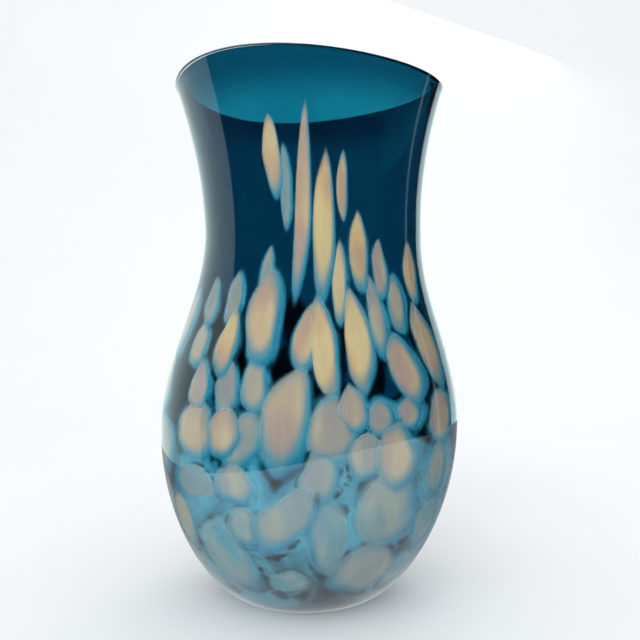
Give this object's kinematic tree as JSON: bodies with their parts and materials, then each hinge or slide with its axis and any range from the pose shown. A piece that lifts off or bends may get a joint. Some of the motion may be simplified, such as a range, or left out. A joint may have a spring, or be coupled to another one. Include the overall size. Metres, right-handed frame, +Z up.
{
  "type": "blown glass vase",
  "caption": "Tall cased glass vase with a round belly, drawn-in neck and flared oval mouth; petal-shaped chips of opal glass lie between a teal inner bubble and a clear casing.",
  "frame": {"origin": "middle of the foot, on the surface that the vase stands on", "axes": "+Z up to the mouth, -Y towards the side with the tall spires"},
  "size_m": [0.164, 0.164, 0.2829],
  "materials": {
    "clear_glass": "polished",
    "teal_glass": "polished",
    "opal_glass": "satin"
  },
  "bodies": {
    "root": {"clear_casing": "clear_glass", "teal_liner": "teal_glass", "opal_spire_1": "opal_glass", "opal_spire_2": "opal_glass", "opal_spire_3": "opal_glass", "opal_spire_4": "opal_glass", "opal_spire_5": "opal_glass", "opal_petal_01": "opal_glass", "opal_petal_02": "opal_glass", "opal_petal_03": "opal_glass", "opal_petal_04": "opal_glass", "opal_petal_05": "opal_glass", "opal_petal_06": "opal_glass", "opal_petal_07": "opal_glass", "opal_petal_08": "opal_glass", "opal_petal_09": "opal_glass", "opal_petal_10": "opal_glass", "opal_petal_11": "opal_glass", "opal_petal_12": "opal_glass", "opal_petal_13": "opal_glass", "opal_petal_14": "opal_glass", "opal_petal_15": "opal_glass", "opal_petal_16": "opal_glass", "opal_petal_17": "opal_glass", "opal_petal_18": "opal_glass", "opal_petal_19": "opal_glass", "opal_petal_20": "opal_glass", "opal_petal_21": "opal_glass", "opal_petal_22": "opal_glass", "opal_pebble_1": "opal_glass", "opal_pebble_2": "opal_glass", "opal_pebble_3": "opal_glass", "opal_pebble_4": "opal_glass", "opal_pebble_5": "opal_glass", "opal_pebble_6": "opal_glass", "opal_pebble_7": "opal_glass", "opal_pebble_8": "opal_glass", "opal_pebble_9": "opal_glass", "opal_low_chip_01": "opal_glass", "opal_low_chip_02": "opal_glass", "opal_low_chip_03": "opal_glass", "opal_low_chip_04": "opal_glass", "opal_low_chip_05": "opal_glass", "opal_low_chip_06": "opal_glass", "opal_low_chip_07": "opal_glass", "opal_low_chip_08": "opal_glass", "opal_low_chip_09": "opal_glass", "opal_low_chip_10": "opal_glass", "opal_low_chip_11": "opal_glass", "opal_low_chip_12": "opal_glass", "opal_low_chip_13": "opal_glass", "opal_low_chip_14": "opal_glass", "opal_low_chip_15": "opal_glass", "opal_back_row_1": "opal_glass", "opal_back_row_2": "opal_glass", "opal_back_row_3": "opal_glass", "opal_back_row_4": "opal_glass", "opal_back_row_5": "opal_glass"}
  },
  "joints": []
}
